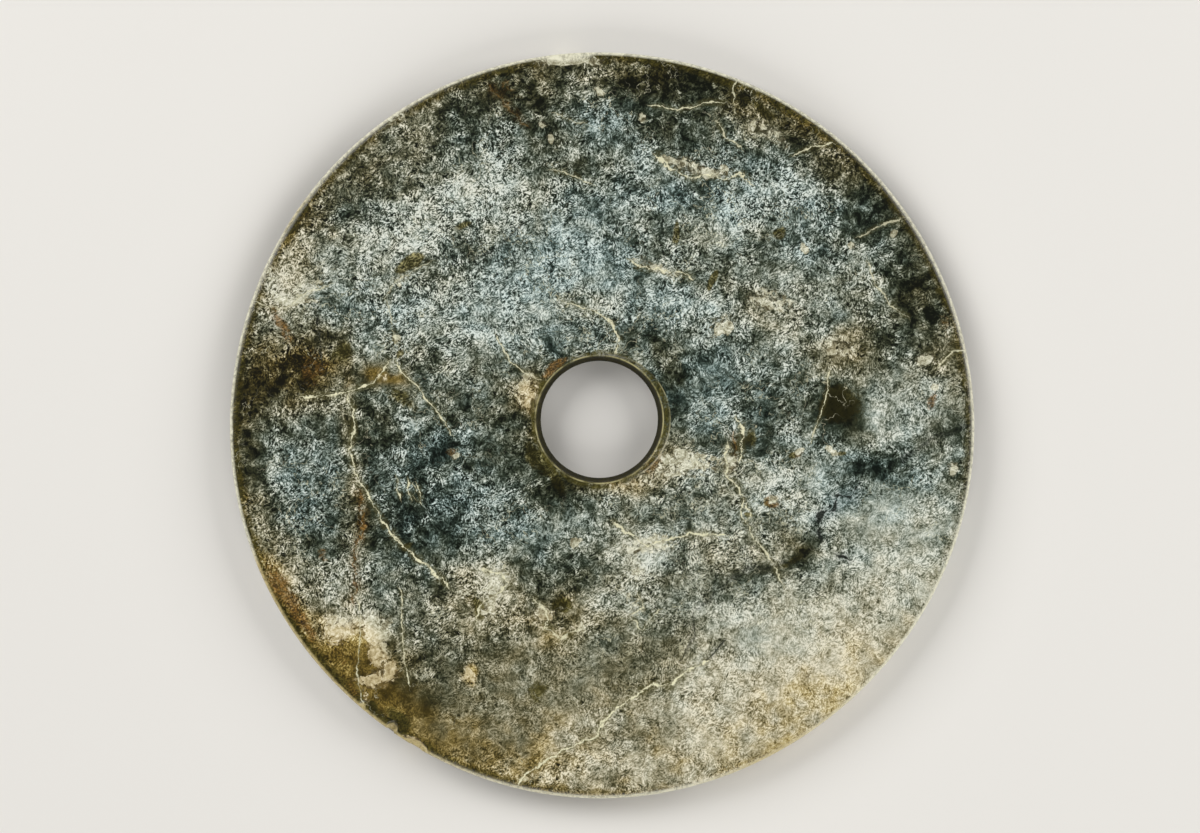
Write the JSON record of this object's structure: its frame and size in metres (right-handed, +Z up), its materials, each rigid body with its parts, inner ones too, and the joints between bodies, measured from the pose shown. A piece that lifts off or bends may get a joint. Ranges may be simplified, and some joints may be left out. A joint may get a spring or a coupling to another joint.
{
  "type": "jade bi disc",
  "caption": "Plain neolithic bi of mottled green nephrite: a flat polished disc with a drilled central hole, lying on its back face.",
  "frame": {"origin": "middle of the resting back face's box, where the disc lies on the ground", "axes": "+Z up through the thickness towards the polished face, +Y towards the edge that is topmost when the disc is stood up to be seen, +X to that view's right"},
  "size_m": [0.24, 0.2406, 0.0125],
  "materials": {
    "jade": "polished nephrite, mottled dark green and pale grey, with calcified cream patches and rusty veins"
  },
  "bodies": {
    "root": {"jade_disc": "jade"}
  },
  "joints": []
}
